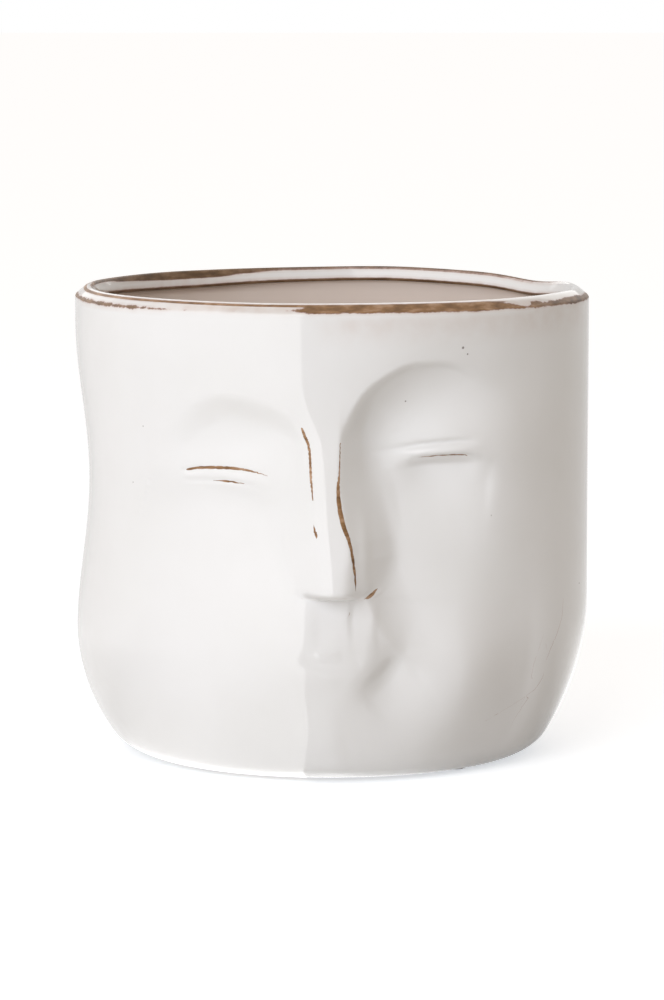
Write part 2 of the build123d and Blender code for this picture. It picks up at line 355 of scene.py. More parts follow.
PHILTRUM = [
    (5.8, 48, 0, 2.4, 18), (5.2, 54, 0.4, 2.4, 18), (4.6, 59.5, 1, 2.6, 18), (5, 63, 1.1, 2.6, 18),
    (5.4, 66.5, 0.3, 2.4, 18),
]
RIGHT_FURROW = [
    (14.2, 47.5, 0, 3, 20), (13.6, 52, 0.5, 3, 20), (13.4, 57, 0.8, 3, 20), (13.8, 63, 0.5, 3, 20),
    (14.2, 66, 0.2, 3, 20),
]
LIPS = (  # x, z, height, half width: where the lips meet, the upper lip, the lower lip
    [
        (-22, 47.4, -0.1, 3), (-13, 49.2, -0.2, 3), (-6, 46.4, -0.3, 3), (1, 44.9, -0.3, 3),
        (8, 46.8, -0.2, 3),
    ],
    [(-6.5, 50, 0.2, 2.6), (-3.4, 48.4, 0.7, 2.4), (1, 48.4, 0.3, 2.6)],
    [(-9, 41.6, 0.2, 4), (-1.5, 40.8, 0.5, 4), (7, 42, 0.3, 4)],
)


def mouth(x, z):
    field = mound(x, z, *MUZZLE) + ledge(x, z, SMILE, fade=4.0) + ledge(x, z, SMILE_CREASE, fade=3.0)
    for line in (LEFT_FURROW, PHILTRUM, RIGHT_FURROW):
        field += ledge(x, z, line, inner=-1.0, fade=2.0)
    for line in LIPS:
        field += roll(x, z, line)
    return field


measure("mouth", mouth)

# %% [markdown]
# Below the mouth the chin has a blunt keel, and the right jaw turns away to the side. With that the face is
# complete: everything but the nose is added up, and the nose is set on top with a soft joint, which is wider
# on its right.

# %% Cheeks, chin and the whole relief
CHEEKS = (((43.0, 37.0), (18.0, 20.0), 3.0, -20.0), ((-30.0, 42.0), (20.0, 18.0), 1.0))
JAW = [  # x, z, depth, width of the drop, reach
    (28, 14, 0.4, 14, 14), (40, 26, 3.4, 22, 14), (44.5, 38, 5, 24, 14), (43, 50, 4, 24, 14),
    (42, 60, 2.8, 22, 14), (45, 76, 1.4, 20, 14), (50, 95, 0.6, 18, 14), (55, 112, 0, 16, 14),
]
KEELS = ((2.0, 46.0, 30.0), (0.5, 150.0, 60.0))  # height, below which z, over how much: chin and whole face
KEEL_HALF, KEEL_BLUNT, KEEL_LEAN, KEEL_MIDDLE = 15.0, 1.7, 0.02, 40.0
NOSE_JOINT = (0.7, 0.9)  # softness on the left, and how much more on the right
JOINT_FROM, JOINT_OVER = 8.0, 8.0


def cheeks_and_chin(x, z):
    field = sum(mound(x, z, *cheek) for cheek in CHEEKS) + ledge(x, z, JAW, inner=-1.0)
    keel = sum(smooth((below - z) / over) * tall for tall, below, over in KEELS)
    return field + keel * np.exp(-np.abs((x - KEEL_LEAN * (KEEL_MIDDLE - z)) / KEEL_HALF) ** KEEL_BLUNT)


def relief(x, z):
    skin = sockets(x, z) + eyelids(x, z) + mouth(x, z) + cheeks_and_chin(x, z)
    joint = NOSE_JOINT[0] + NOSE_JOINT[1] * smooth((x - JOINT_FROM) / JOINT_OVER)
    return soft_max(skin, nose(x, z), joint)


measure("relief", relief)

# %% [markdown]
# Now the mesh. The pot is one closed skin, so it is drawn as a grid: columns round the axis, close together
# across the face and wider apart behind, and rows that start under the foot, climb the outside, turn over the
# rim, drop down the inner collar and the inside wall, and end in the middle of the floor.

# %% Columns and rows of the outside
def steps(*spans):
    """Joined even steps: (start, end, count) for each span."""
    return np.concatenate([np.linspace(start, end, count, endpoint=False) for start, end, count in spans])


FACE_HALF_ANGLE, FACE_FADE = math.radians(62), math.radians(14)
FOOT_FADE, RIM_FADE = (1.5, 4.0), (163.0, 8.0)  # where the relief has run out, and over which height
degrees = steps((-180, -50, 58), (-50, -24, 38), (-24, 26, 118), (26, 52, 38), (52, 180, 57))
angle = np.radians(degrees)
foot_z = FOOT_PLANE + FOOT_CORNER[1] * (1 - np.cos(np.linspace(0, math.pi / 2, 9)))[:-1]
FACE_SPANS = ((30, 65, 56), (65, 70, 16), (70, 104, 56), (104, 124, 40), (124, 150, 40))
wall_z = steps((8, 30, 16), *FACE_SPANS, (150, 164, 9))
outer_z = np.concatenate([foot_z, wall_z])


def face_lift(a, z):
    """How far the clay stands out to the viewer; it fades out at the sides, the foot and the rim."""
    x = wall_radius(a, z) * np.sin(a)
    front = np.abs(a) < FACE_HALF_ANGLE
    lift = np.zeros_like(x)
    lift[front] = relief(x[front], z[front])
    sides = smooth((FACE_HALF_ANGLE - np.abs(a)) / FACE_FADE)
    return lift * sides * smooth((z - FOOT_FADE[0]) / FOOT_FADE[1]) * smooth((RIM_FADE[0] - z) / RIM_FADE[1])


def ring(radius, z, forward=0.0):
    """A row of points round the axis."""
    across, back = radius * np.sin(angle), AXIS_Y - radius * np.cos(angle) - forward
    return np.stack([across, back, z + 0.0 * angle], -1)


A, Z = np.meshgrid(angle, outer_z)
plain = wall_radius(A, Z)
lift = face_lift(A, Z)
print("outside:", len(outer_z), "rows of", len(angle), "points")

# %% [markdown]
# A rim that was trimmed and fired by hand is never level. It dips once on the right towards the back, rises a
# little behind and waves all round, less so in front. The upper wall follows it.

# %% Rise and fall of the rim
RIM_DIP, RIM_DIP_AT, RIM_DIP_HALF = -2.2, 120, 14  # mm, degrees, degrees
BACK_RISE = 0.6
RIM_WAVES = ((0.25, 3, 1.0), (0.15, 7, 0.0))  # height, number round the rim, phase
FRONT_WAVES = 0.4  # share of them that is left in front
FOLLOW_FROM, FOLLOW_OVER = 120.0, 44.0  # the height from which the wall follows, and over how much
rim_dip = RIM_DIP * np.exp(-(((degrees - RIM_DIP_AT) / RIM_DIP_HALF) ** 2))
rim_dip += BACK_RISE * smooth((np.abs(degrees) - 140) / 30)
rim_wave = sum(tall * np.sin(count * angle + phase) for tall, count, phase in RIM_WAVES)
rim_rise = rim_dip + rim_wave * (FRONT_WAVES + (1 - FRONT_WAVES) * smooth((np.abs(angle) - 1.0) / 0.6))
follows_rim = smooth((Z - FOLLOW_FROM) / FOLLOW_OVER) * rim_rise
outer_rows = [ring(r, z + f, forward) for r, z, f, forward in zip(plain, outer_z, follows_rim, lift)]
print("the rim rises and falls by", round(float(np.ptp(rim_rise)), 1), "mm")

# %% [markdown]
# The rim is a lip about 6 mm thick with a chamfer outside. Inside, a collar leans in and ends in a small step
# between 5 and 6 mm below the top, as on pots that are cast with a spare ring and trimmed. Each row below is
# (step inwards from the wall, step down from the rim's top). Behind the eye sockets the inside wall is drawn
# in, so the clay keeps its thickness.

# %% Rim, inside and foot
LIP_ROWS = [
    (0.0, 4.3), (0.05, 3.9), (0.18, 3.5), (0.45, 3.1), (0.85, 2.75), (1.3, 2.4), (1.75, 2.03), (2.2, 1.65),
    (2.65, 1.28), (3.1, 0.92), (3.5, 0.62), (3.85, 0.4), (4.2, 0.25), (4.6, 0.1), (5.0, 0.02), (5.35, 0.05),
    (5.7, 0.2), (6.0, 0.5), (6.2, 0.95),
]
COLLAR_ROWS = [
    (6.45, 1.6), (6.75, 2.3), (7.05, 3.1), (7.3, 3.8), (7.4, 4.4), (7.35, 4.8), (7.1, 5.15), (6.7, 5.4),
    (6.1, 5.6), (5.4, 5.9), (4.95, 6.4),
]
RIM_ROWS = LIP_ROWS + COLLAR_ROWS
INSIDE_CORNER = (  # step down, step inwards: the wall's thickness, then the round at the floor
    (112.0, 5.0), (122.0, 5.6), (132.0, 6.2), (140.0, 7.2), (147.0, 9.0), (152.5, 12.0), (156.5, 17.0),
    (158.2, 24.0), (158.6, 40.0), (158.7, 65.0),
)
COLLAR_HANG, COLLAR_HANG_AT, COLLAR_HANG_HALF = 1.1, -138, 24  # the collar hangs lower at the back left
top_radius = plain[-1]
collar_hang = COLLAR_HANG * np.exp(-(((degrees - COLLAR_HANG_AT) / COLLAR_HANG_HALF) ** 2))
collar_hang -= 0.1 * np.exp(-(((np.abs(degrees) - 180) / 26) ** 2))
rim_rows = []
for inwards, down in RIM_ROWS:
    hang = collar_hang * smooth((down - 2.0) / 2.5) * (inwards > 5.0)
    rim_rows.append(ring(top_radius - inwards, RIM_TOP + rim_rise - down - hang))

inside_depths = np.append(np.arange(9.0, 113.0, 6.5), [down for down, _ in INSIDE_CORNER[1:]])
blur = np.hanning(15)[1:-1]
inside_rows = []
for down in inside_depths:
    z = np.full_like(angle, RIM_TOP - down)
    inwards = np.interp(down, *zip(*INSIDE_CORNER))
    hollow = np.minimum(face_lift(angle, z), 0.0)
    hollow = np.convolve(np.pad(hollow, len(blur) // 2, mode="wrap"), blur / blur.sum(), "valid")
    inside_rows.append(ring(wall_radius(angle, np.maximum(z, 12.0)) - inwards, z, hollow))

FOOT_RING, RECESS = 20.0, 2.0
FOOT_ROWS = [  # step inwards from the foot's edge, step up from the foot's plane
    (FOOT_RING + 30.0, RECESS),
    (FOOT_RING + 1.5, RECESS),
    (FOOT_RING + 0.3, RECESS - 0.6),
    (FOOT_RING - 0.4, 0.2),
    (FOOT_RING - 1.2, 0.0),
    (FOOT_RING * 0.6, 0.0),
    (FOOT_RING * 0.25, 0.0),
]
foot_rows = [ring(plain[0] - inwards, FOOT_PLANE + up) for inwards, up in FOOT_ROWS]
print("rows of foot, rim and inside:", len(foot_rows), len(rim_rows), len(inside_rows))

# %% [markdown]
# Neighbouring points of the grid make four-sided faces, and a fan of triangles closes each end, under the
# foot and on the floor. The skin rides on the frame's one body and stands in for the CAD pot.

# %% Faces of the skin
grid = np.stack(foot_rows + outer_rows + rim_rows + inside_rows)
n_rows, n_cols = grid.shape[:2]
poles = [[0.0, AXIS_Y, FOOT_PLANE + RECESS], [0.0, AXIS_Y, RIM_TOP - inside_depths[-1]]]
points = np.vstack([grid.reshape(-1, 3), poles]) * MM


def grid_faces(rows, columns):
    """Faces of a closed grid, and of the fans to two poles that follow its points."""
    cell = np.arange(rows * columns).reshape(rows, columns)
    ahead = np.roll(cell, -1, axis=1)
    faces = np.stack([cell[:-1], ahead[:-1], ahead[1:], cell[1:]], -1).reshape(-1, 4).tolist()
    faces += [[rows * columns, b, a] for a, b in zip(cell[0].tolist(), ahead[0].tolist())]
    faces += [[rows * columns + 1, a, b] for a, b in zip(cell[-1].tolist(), ahead[-1].tolist())]
    return faces


link = bpy.context.collection.objects.link
mesh = bpy.data.meshes.new("pot_skin")
mesh.from_pydata(points.tolist(), [], grid_faces(n_rows, n_cols))
mesh.polygons.foreach_set("use_smooth", [True] * len(mesh.polygons))
mesh.validate()
mesh.update()
pot = bpy.data.objects.new("pot_skin", mesh)
link(pot)
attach(pot, "root")
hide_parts("pot_body")
print("skin:", n_rows, "rows x", n_cols, "columns,", 2 * n_rows * n_cols, "triangles")

# %% [markdown]
# Colour comes from how thick the glaze is, and in a few places from painted shade. It is opaque white where
# it is thick, it goes pink and lilac as it thins, and it breaks through to the brown clay on edges. The mesh
# carries that as numbers per point: first, for the lines on the face, the distance from the nearest line and
# its half width there, in millimetres. Most lines are breaks. The line in the nostril and the one under the
# nose are painted shade, and a faint line darkens the middle furrow of the lip. Where a half width is about
# nought, only specks of the line show. The shader adds the ragged edge, which is finer than the mesh.

# %% Where the glaze breaks on the face, and lines of painted shade
BREAKS_AND_SHADE_LINES = (  # x, z, half width
    [(-10.3, 126, 0.3), (-9.4, 123.5, 0.5), (-7.8, 119, 0.45), (-7.1, 108, 0.4), (-6.5, 101.5, 0.1)],
    [(-6.4, 94.8, -0.2), (-6, 92, 0.3), (-5.4, 90.2, 0.5), (-5.2, 88.6, 0)],
    [
        (2.9, 121, 0.15), (2.5, 111.5, 0.25), (2.1, 105.5, 0.6), (2.6, 99, 0.75), (4, 93, 0.75),
        (6, 87.5, 0.55), (7.3, 80.7, 0.45), (7.9, 74.5, 0.3), (8.2, 70, -0.1),
    ],
    [(-50.4, 109.5, 0.4), (-45.5, 110.5, 0.5), (-35, 110.8, 0.55), (-28, 110.1, 0.35), (-22, 108.6, 0)],
    [(-41, 106.3, 0), (-36, 106.2, 0.35), (-30, 105.6, 0.1)],
    [(29, 114.4, -0.06), (33, 114.8, 0.14), (40, 115.3, 0.24), (44, 115.3, 0.26), (47, 114.9, 0)],
    # painted shade: the dark of the nostril, drawn as a brown line
    [(10.6, 67.3, 0.1), (13.2, 68.3, 0.7), (15.6, 70.5, 0.2)],
    # a faint darker line down the middle furrow of the lip
    [(6.3, 63.4, 0), (5.7, 61.6, 0.02), (5.3, 60, -0.1)],
    # painted shade: a faint line under the nose's lower edge
    [(-10.8, 67.6, 0), (-4, 66.8, -0.12), (6, 66.6, -0.1)],
    [
        (81.6, 61, -0.02), (80.5, 52, 0), (75.7, 40.5, 0), (74, 33, 0), (69.2, 26.5, 0), (64, 18.5, -0.02),
        (62.4, 14.5, -0.05),
    ],
    [(74.3, 49.5, -0.03), (70.2, 36.5, -0.01), (70.6, 31.5, -0.01), (68.9, 27.5, -0.01), (52.8, 20, -0.03)],
)
FAR = 4.0  # mm: no break within reach
FACE_LINES_HALF_ANGLE = math.radians(78)


def stroke(x, z, points):
    """Signed distance from a drawn line and the line's half width there, which runs out past its ends."""
    d, value, past = follow(x, z, spline(points))
    return d, value[..., 0] - 2.0 * past - FAR * smooth((np.abs(d) - 1.5) / 1.5)


first_outer = len(foot_rows)
first_rim = first_outer + len(outer_rows)
first_inside = first_rim + len(rim_rows)
face = np.abs(A) < FACE_LINES_HALF_ANGLE
face_x = (plain * np.sin(A))[face]
face_side, face_half = np.full(face_x.shape, FAR), np.full(face_x.shape, -FAR)
for line in BREAKS_AND_SHADE_LINES:
    side, half = stroke(face_x, Z[face], line)
    nearer = half - np.abs(side) > face_half - np.abs(face_side)
    face_side, face_half = np.where(nearer, side, face_side), np.where(nearer, half, face_half)
line_side, line_half = np.full((n_rows, n_cols), FAR), np.full((n_rows, n_cols), -FAR)
line_side[first_outer:first_rim][face] = face_side
line_half[first_outer:first_rim][face] = face_half
print("brown lines on the face:", len(BREAKS_AND_SHADE_LINES))

# %% [markdown]
# Round the rim the break is a band that changes all the way: a thin upper line and a ragged lower one on the
# left, one broad brown band in front, a chipped gap on the right. Each row of the first two tables gives, at
# an angle in degrees, where the band's middle lies and its half width. The lower band is placed by its depth
# below the rim's top, the lip's line by its step inwards.

# %% Breaks along the rim
LOWER_BAND = (
    (-180, 3.1, -2), (-100, 3.1, -1), (-86, 3.1, 0.45), (-62, 3.2, 0.45), (-48, 3.2, 0.35),
    (-40, 3.2, 0.05), (-33, 2.9, -0.4), (-12, 2.4, -0.4), (-7, 2.2, 0.4), (-5, 2, 1), (0, 1.95, 1.2),
    (20, 1.95, 1.25), (36, 2, 1.2), (41, 2.1, 1), (45, 2.8, 0.5), (47.5, 3.1, 0.1), (49, 3, 0.1),
    (50, 2.6, 0.9), (52, 2.6, 0.9), (53, 3, 0.1), (55, 2.8, 0.8), (70, 2.8, 1), (85, 3, 0.8),
    (100, 3, -0.2), (120, 3, -2), (180, 3, -2),
)
LIP_LINE = (
    (-180, 5.2, 0.8), (-160, 5.2, 0.9), (-145, 5.2, 1.3), (-125, 5.1, 1.6), (-105, 4.9, 1), (-92, 4, 0.5),
    (-80, 3.4, 0.5), (-40, 3.3, 0.5), (-10, 3.2, 0.55), (36, 3.2, 0.5), (42, 3.2, 0.1), (46, 3.2, -0.8),
    (80, 3.2, -1), (100, 5, -0.4), (112, 5.3, 0.45), (135, 5.2, 0.75), (180, 5.2, 0.8),
)
INNER_LINE = (  # half width on the lip's inner edge
    (-180, -2), (-125, -1), (-112, 0.5), (-98, 0.6), (-85, 0.4), (-70, 0), (-50, -1), (180, -2),
)
LIP_DROP = (  # how far down the lip's line may reach
    (-180, 1), (-164, 1.2), (-150, 2.4), (-135, 2.3), (-118, 1.6), (-104, 1), (-92, 1.1), (180, 1),
)
RAGGED = (  # how far the band's edge wanders
    (-180, 0.1), (-95, 0.2), (-75, 0.5), (-36, 0.6), (-20, 0.4), (-4, 0.4), (40, 0.35), (60, 0.5), (90, 0.4),
    (110, 0.1), (180, 0.1),
)
OLIVE = (  # where the brown is darker and greener
    (-180, 1), (-95, 1), (-80, 0.7), (-40, 0.7), (-15, 0.2), (-8, 0), (46, 0), (54, 0.6), (90, 0.6),
    (110, 1), (180, 1),
)
INNER_EDGE, COLLAR_STEP, COLLAR_HALF = (5.9, 0.5), (7.15, 5.1), 0.75  # places as in RIM_ROWS, half width
INNER_OLIVE = (0.15, 0.85)  # on lip and collar, in front and behind
ROWS_BELOW = 8  # rows of the outer wall that the band may reach down to


def at_angle(table, column):
    return np.interp(degrees, [row[0] for row in table], [row[column] for row in table])


brown = np.full((n_rows, n_cols), -FAR)
ragged_edge = np.full((n_rows, n_cols), 0.25) * smooth((50.0 - degrees) / 10.0)
olive = np.zeros((n_rows, n_cols))
profile = [(0.0, RIM_TOP - z) for z in outer_z[-ROWS_BELOW:]] + RIM_ROWS
for row, (inwards, down) in enumerate(profile, first_rim - ROWS_BELOW):
    band = at_angle(LOWER_BAND, 2) - np.abs(down - at_angle(LOWER_BAND, 1)) - 3.0 * max(inwards - 4.0, 0.0)
    lip = at_angle(LIP_LINE, 2) - np.abs(np.minimum(inwards, 6.0) - at_angle(LIP_LINE, 1))
    lip -= 1.5 * np.clip(down - at_angle(LIP_DROP, 1), 0.0, None)
    lip = np.maximum(lip, at_angle(INNER_LINE, 1) - math.dist((inwards, down), INNER_EDGE))
    collar = COLLAR_HALF - math.dist((inwards, down), COLLAR_STEP)
    inner = np.maximum(lip, collar)
    brown[row] = np.maximum(band, inner)
    ragged_edge[row] = np.where(band > inner, at_angle(RAGGED, 1), 0.1)
    olive[row] = np.where(band > inner, at_angle(OLIVE, 1), np.where(np.abs(degrees) < 95, *INNER_OLIVE))
print("points inside the rim's brown:", int((brown > 0).sum()))

# %% [markdown]
# Beside a break the glaze is thin and turns pink, also on the chamfer in front and, faintly, on the wall just
# below the rim on the right. Under the foot the clay stays bare, because glaze would stick to the kiln's
# shelf. The inside is painted a darker, warmer white, as painted shade in the well. All of this goes onto the
# mesh as named layers.

# %% Thin pink glaze and bare clay
PINK_BESIDE, PINK_CHAMFER, PINK_BELOW = 0.75, 0.8, 0.34
pink = PINK_BESIDE * smooth((brown + 1.5) / 1.5)
for row, (inwards, down) in enumerate(profile, first_rim - ROWS_BELOW):
    chamfer = PINK_CHAMFER * math.exp(-(((down - 1.9) / 1.5) ** 2))
    pink[row] = np.maximum(pink[row], chamfer * smooth((degrees + 60) / 40) * smooth((70 - degrees) / 25))
right_side = smooth((degrees + 6) / 10) * smooth((100 - degrees) / 20)
below_rim = PINK_BELOW * smooth((Z - 151.0) / 11.0) * right_side
pink[first_outer:first_rim] = np.maximum(pink[first_outer:first_rim], below_rim)
pink[first_inside - 4 :] = 0.0
# painted shade: the layer "inside" marks the well, which the glaze paints a darker, warmer white
inside = np.zeros((n_rows, n_cols))
inside[first_inside - 3 :] = 1.0
bare = np.zeros((n_rows, n_cols))
bare[: first_outer + 1] = 1.0
layers = {
    "brown": brown, "line_side": line_side, "line_half": line_half, "pink": pink,
    "bare": bare, "ragged": ragged_edge, "olive": olive, "inside": inside,
}
for name, values in layers.items():
    layer = mesh.attributes.new(name, "FLOAT", "POINT")
    at_points = np.append(values.ravel(), [values[0, 0], values[-1, 0]])
    layer.data.foreach_set("value", at_points.astype(np.float32))
print("layers:", ", ".join(layers))

# %% [markdown]
# Materials are node graphs. One small function adds a node, sets it and connects what comes in. Colours are
# written as sRGB hex codes, as a paint program shows them, and turned to the linear values that shaders use.

# %% Colour and node helpers
PER_METRE = 1000.0  # over a size in mm, this is a noise's scale in object coordinates


def linear(code):
    """An sRGB hex code as the linear colour that shaders work in."""
    channels = [int(code[i : i + 2], 16) / 255 for i in (1, 3, 5)]
    return tuple(c / 12.92 if c <= 0.04045 else ((c + 0.055) / 1.055) ** 2.4 for c in channels) + (1.0,)


def add(tree, kind, inputs=None, stops=(), out=0, **settings):
    """Adds a node and gives back one of its outputs, if it has any.

    Inputs are other nodes' outputs or plain values; stops are the colours of a ramp.
    """
    node = tree.nodes.new("ShaderNode" + kind)
    for key, value in settings.items():
        setattr(node, key, value)
    for key, value in (inputs or {}).items():
        if isinstance(value, bpy.types.NodeSocket):
            tree.links.new(value, node.inputs[key])
        else:
            node.inputs[key].default_value = value
    while stops and len(node.color_ramp.elements) < len(stops):
        node.color_ramp.elements.new(1.0)
    for number, (position, code) in enumerate(stops):
        node.color_ramp.elements[number].position = position
        node.color_ramp.elements[number].color = linear(code)
    return node.outputs[out] if node.outputs else None


def new_material(name):
    material = bpy.data.materials.new(name)
    material.use_nodes = True
    material.node_tree.nodes.clear()
    return material, material.node_tree


print("#808080 is", round(linear("#808080")[0], 3), "in linear light")

# %% [markdown]
# The glaze is a white stoneware glaze, poured and fired until it ran smooth. To the eye it is a soft white
# with faint warm clouds, glossy like window glass (its index is 1.58) and a little wavy where it flowed. Its
# patterns are noises, each with the size of its grain in millimetres; the streaks in the brown run round the
# pot, so their noise is stretched sideways.

# %% Glaze: layers and patterns
glaze, tree = new_material("white_breaking_glaze")
place = add(tree, "TexCoord", out="Object")
along = add(tree, "Mapping", {"Vector": place, "Scale": (0.3, 0.3, 1.0)})
mask = {name: add(tree, "Attribute", out="Fac", attribute_name=name) for name in layers}
PATTERNS = (  # name, where it is read, grain in mm, detail, roughness
    ("ragged", place, 1.613, 3.0, 0.6),
    ("blotch", place, 5.882, 2.0, 0.5),
    ("cloud", place, 45.45, 3.0, 0.5),
    ("streak", along, 1.923, 3.0, 0.5),
    ("ripple", place, 22.22, 2.0, 0.4),
)
pattern = {}
for name, where, grain, detail, rough in PATTERNS:
    inputs = {"Vector": where, "Scale": PER_METRE / grain, "Detail": detail, "Roughness": rough}
    pattern[name] = add(tree, "TexNoise", inputs)
print("patterns:", ", ".join(pattern))

# %% [markdown]
# The edge of a brown line wanders, at a break and at painted shade alike: noise moves it in and out by as
# much as the layer "ragged" allows. The lines on the face are cleaner than the rim, so their millimetres
# count several times before the noise is added.

# %% Glaze: how deep inside a brown line
FACE_CRISPNESS = 4.0
EDGE_WANDER = 2.4  # mm, at a raggedness of 1
off_line = add(tree, "Math", {0: mask["line_side"]}, operation="ABSOLUTE")
in_line = add(tree, "Math", {0: mask["line_half"], 1: off_line}, operation="SUBTRACT")
line_mm = add(tree, "Math", {0: in_line, 1: FACE_CRISPNESS}, operation="MULTIPLY")
brown_mm = add(tree, "Math", {0: mask["brown"], 1: line_mm}, operation="MAXIMUM")
edge_noise = add(tree, "Math", {0: pattern["ragged"], 1: pattern["blotch"]}, operation="ADD")
edge_wave = add(tree, "Math", {0: edge_noise, 1: EDGE_WANDER, 2: -EDGE_WANDER}, operation="MULTIPLY_ADD")
edge_shift = add(tree, "Math", {0: edge_wave, 1: mask["ragged"]}, operation="MULTIPLY")
depth_mm = add(tree, "Math", {0: brown_mm, 1: edge_shift}, operation="ADD")
broken_and_shaded = add(tree, "MapRange", {"Value": depth_mm, "From Min": -0.3, "From Max": 0.45})
core_amount = add(tree, "MapRange", {"Value": broken_and_shaded, "From Min": 0.25, "From Max": 0.75})
break_and_shade_amount = add(tree, "MapRange", {"Value": broken_and_shaded, "From Min": 0.02, "From Max": 0.3})
print("nodes so far:", len(tree.nodes))

# %% [markdown]
# The brown has a lilac halo, where a skin of glaze is left, and a core, which is the clay itself: warm brown
# in front, darker and more olive at the sides and on the collar. The painted shade lines on the face take the
# same colours.

# %% Glaze: colours
RAMPS = {  # name: what drives it, its colours
    "white": (pattern["cloud"], ((0.3, "#E6E5E3"), (0.7, "#EAE9E8"))),
    # the inside's ramp is painted shade: a darker, warmer white for the well
    "inside": (pattern["cloud"], ((0.3, "#DFD2C8"), (0.7, "#E4D9D0"))),
    "brown": (pattern["streak"], ((0.34, "#6E4F30"), (0.5, "#8C6844"), (0.68, "#B49274"))),
    "olive": (pattern["streak"], ((0.35, "#58432F"), (0.65, "#7A624A"))),
    "halo": (broken_and_shaded, ((0.0, "#D9CCC9"), (0.3, "#B49C93"), (0.6, "#7C6254"))),
    "clay": (pattern["blotch"], ((0.3, "#B79F86"), (0.7, "#C9B49B"))),
}
THIN_PINK, PIT_BROWN = linear("#D2C2B8"), linear("#5A4A40")
colour = {name: add(tree, "ValToRGB", {0: driver}, stops) for name, (driver, stops) in RAMPS.items()}
# A Mix node takes its two colours as inputs 6 and 7 and gives the mixed one as output 2.
core = {"Factor": mask["olive"], 6: colour["brown"], 7: colour["olive"]}
core_colour = add(tree, "Mix", core, out=2, data_type="RGBA")
break_and_shade_mix = {"Factor": core_amount, 6: colour["halo"], 7: core_colour}
break_and_shade_colour = add(tree, "Mix", break_and_shade_mix, out=2, data_type="RGBA")
thin = add(tree, "Math", {0: mask["pink"], 1: pattern["blotch"]}, operation="MULTIPLY")
thin_amount = add(tree, "Math", {0: thin, 1: 1.5}, operation="MULTIPLY", use_clamp=True)
# painted shade: the well takes the inside ramp's colour, except where the glaze breaks
unbroken = {0: mask["inside"], 1: break_and_shade_amount}
inside_shade_amount = add(tree, "Math", unbroken, operation="SUBTRACT", use_clamp=True)
coats = [(thin_amount, THIN_PINK), (break_and_shade_amount, break_and_shade_colour), (inside_shade_amount, colour["inside"])]
print("ramps:", ", ".join(colour))

# %% [markdown]
# A few pinholes, where gas came out in the firing, finish it. Each is a dark spot round a point on the wall.
# Then the coats are painted one over the other, and the bare clay of the foot comes last.

# %% Glaze: pinholes and coats
PINHOLES = (  # x, z and radius in mm
    (44.8, 152.5, 0.6), (46.4, 150.2, 0.4), (25.2, 134.0, 0.35), (55.2, 93.6, 0.5), (88.0, 63.8, 0.45),
    (-65.5, 123.6, 0.3), (-69.4, 103.2, 0.3), (14.7, 53.5, 0.35),
)
MEAN_RADIUS = 88.0  # for a first guess of a pinhole's angle
PIT_DARKNESS, PIT_CORE = 0.85, 0.4  # the inner share of the radius is fully dark
pin_z = np.array([z for _, z, _ in PINHOLES])
pin_angle = np.arcsin([x / MEAN_RADIUS for x, _, _ in PINHOLES])
for a, z, forward, (x, _, radius) in zip(pin_angle, pin_z, face_lift(pin_angle, pin_z), PINHOLES):
    a = math.asin(x / wall_radius(a, z))
    spot = (MM * x, MM * (AXIS_Y - wall_radius(a, z) * math.cos(a) - forward), MM * z)
    away = add(tree, "VectorMath", {0: place, 1: spot}, out="Value", operation="DISTANCE")
    reach = {"From Min": MM * PIT_CORE * radius, "From Max": MM * radius}
    hole = add(tree, "MapRange", {"Value": away, **reach, "To Min": PIT_DARKNESS, "To Max": 0.0})
    coats.append((hole, PIT_BROWN))
coats.append((mask["bare"], colour["clay"]))
skin_colour = colour["white"]
for amount, coat in coats:
    skin_colour = add(tree, "Mix", {"Factor": amount, 6: skin_colour, 7: coat}, out=2, data_type="RGBA")
print("coats:", len(coats))

# %% [markdown]
# Gloss tells glaze from clay. The white is smooth and mirrors sharply; the brown, where clay breaks through,
# is duller, and the bare foot is matt. A low, wide ripple bends the reflections as poured glaze does.

# %% Glaze: gloss
GLAZE_IOR = 1.58
GLAZE_ROUGH, CLAY_ROUGH = 0.07, 0.85
BROWN_DULL = 0.5  # of the way to bare clay
GLAZE_SHINE, BROWN_SHINE = 0.5, 0.25
RIPPLE_STRENGTH, RIPPLE_METRES = 0.1, 0.0006
dull = add(tree, "Math", {0: break_and_shade_amount, 1: BROWN_DULL}, operation="MULTIPLY")
matt = add(tree, "Math", {0: mask["bare"], 1: dull}, operation="MAXIMUM")
roughness = add(tree, "MapRange", {"Value": matt, "To Min": GLAZE_ROUGH, "To Max": CLAY_ROUGH})
shine = add(tree, "MapRange", {"Value": break_and_shade_amount, "To Min": GLAZE_SHINE, "To Max": BROWN_SHINE})
wave = {"Height": pattern["ripple"], "Strength": RIPPLE_STRENGTH, "Distance": RIPPLE_METRES}
bump = add(tree, "Bump", wave)
surface = {"Base Color": skin_colour, "Roughness": roughness, "Specular IOR Level": shine, "Normal": bump}
shader = add(tree, "BsdfPrincipled", {**surface, "IOR": GLAZE_IOR})
add(tree, "OutputMaterial", {0: shader})
mesh.materials.append(glaze)
print(glaze.name, "has", len(tree.nodes), "nodes")

# %% [markdown]
# Felt pads: four stuck-on discs under the foot. Pressed wool felt shows a fuzzy, slightly bulging edge, so
# each disc is a turned form with a soft side, and its surface is broken up by noise. Wool fibres are too fine
# to show, so the noise is drawn as coarse as small tufts.

